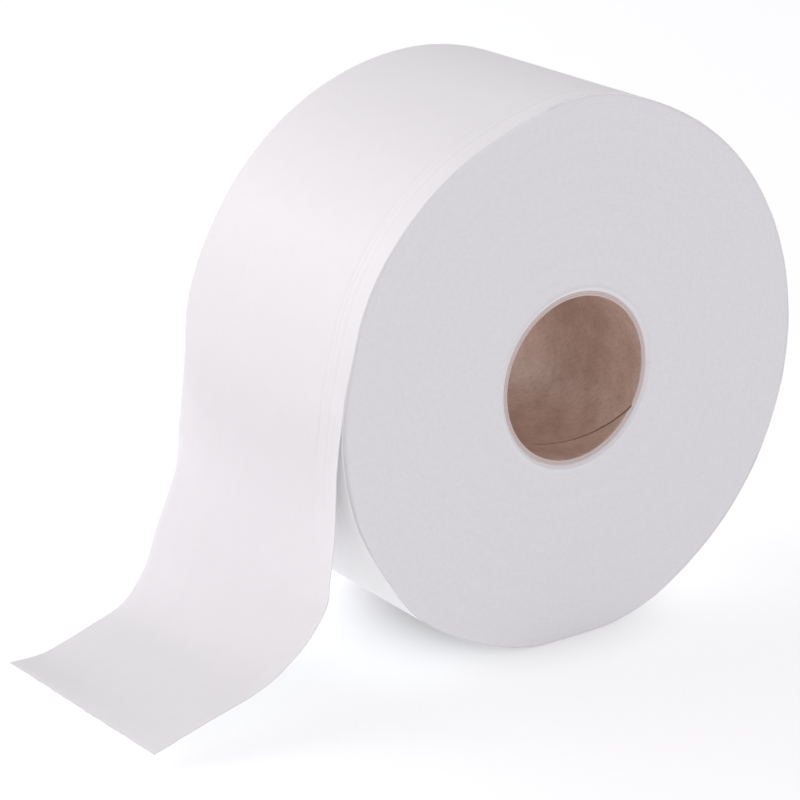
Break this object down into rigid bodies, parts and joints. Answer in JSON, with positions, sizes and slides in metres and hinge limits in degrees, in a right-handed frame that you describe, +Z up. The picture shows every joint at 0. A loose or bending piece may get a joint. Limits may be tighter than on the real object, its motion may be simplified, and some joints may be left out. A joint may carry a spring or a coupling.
{
  "type": "toilet paper roll",
  "caption": "Jumbo bathroom tissue roll on a spiral-wound card core, standing on its rim with a loose end trailing on the floor.",
  "frame": {"origin": "on the floor, in the middle of the small flat spot under the roll's axis, halfway across its width", "axes": "+Z up, Y along the roll's axis with the front end facing -Y, and the loose end leading off to -X"},
  "size_m": [0.2615, 0.093, 0.1889],
  "materials": {
    "core_card": "matt brown tube board with a fine fibre fleck",
    "tissue": "matt white two-ply tissue with a fine crepe"
  },
  "bodies": {
    "root": {"core_tube": "core_card", "tissue_web": "tissue"}
  },
  "joints": []
}
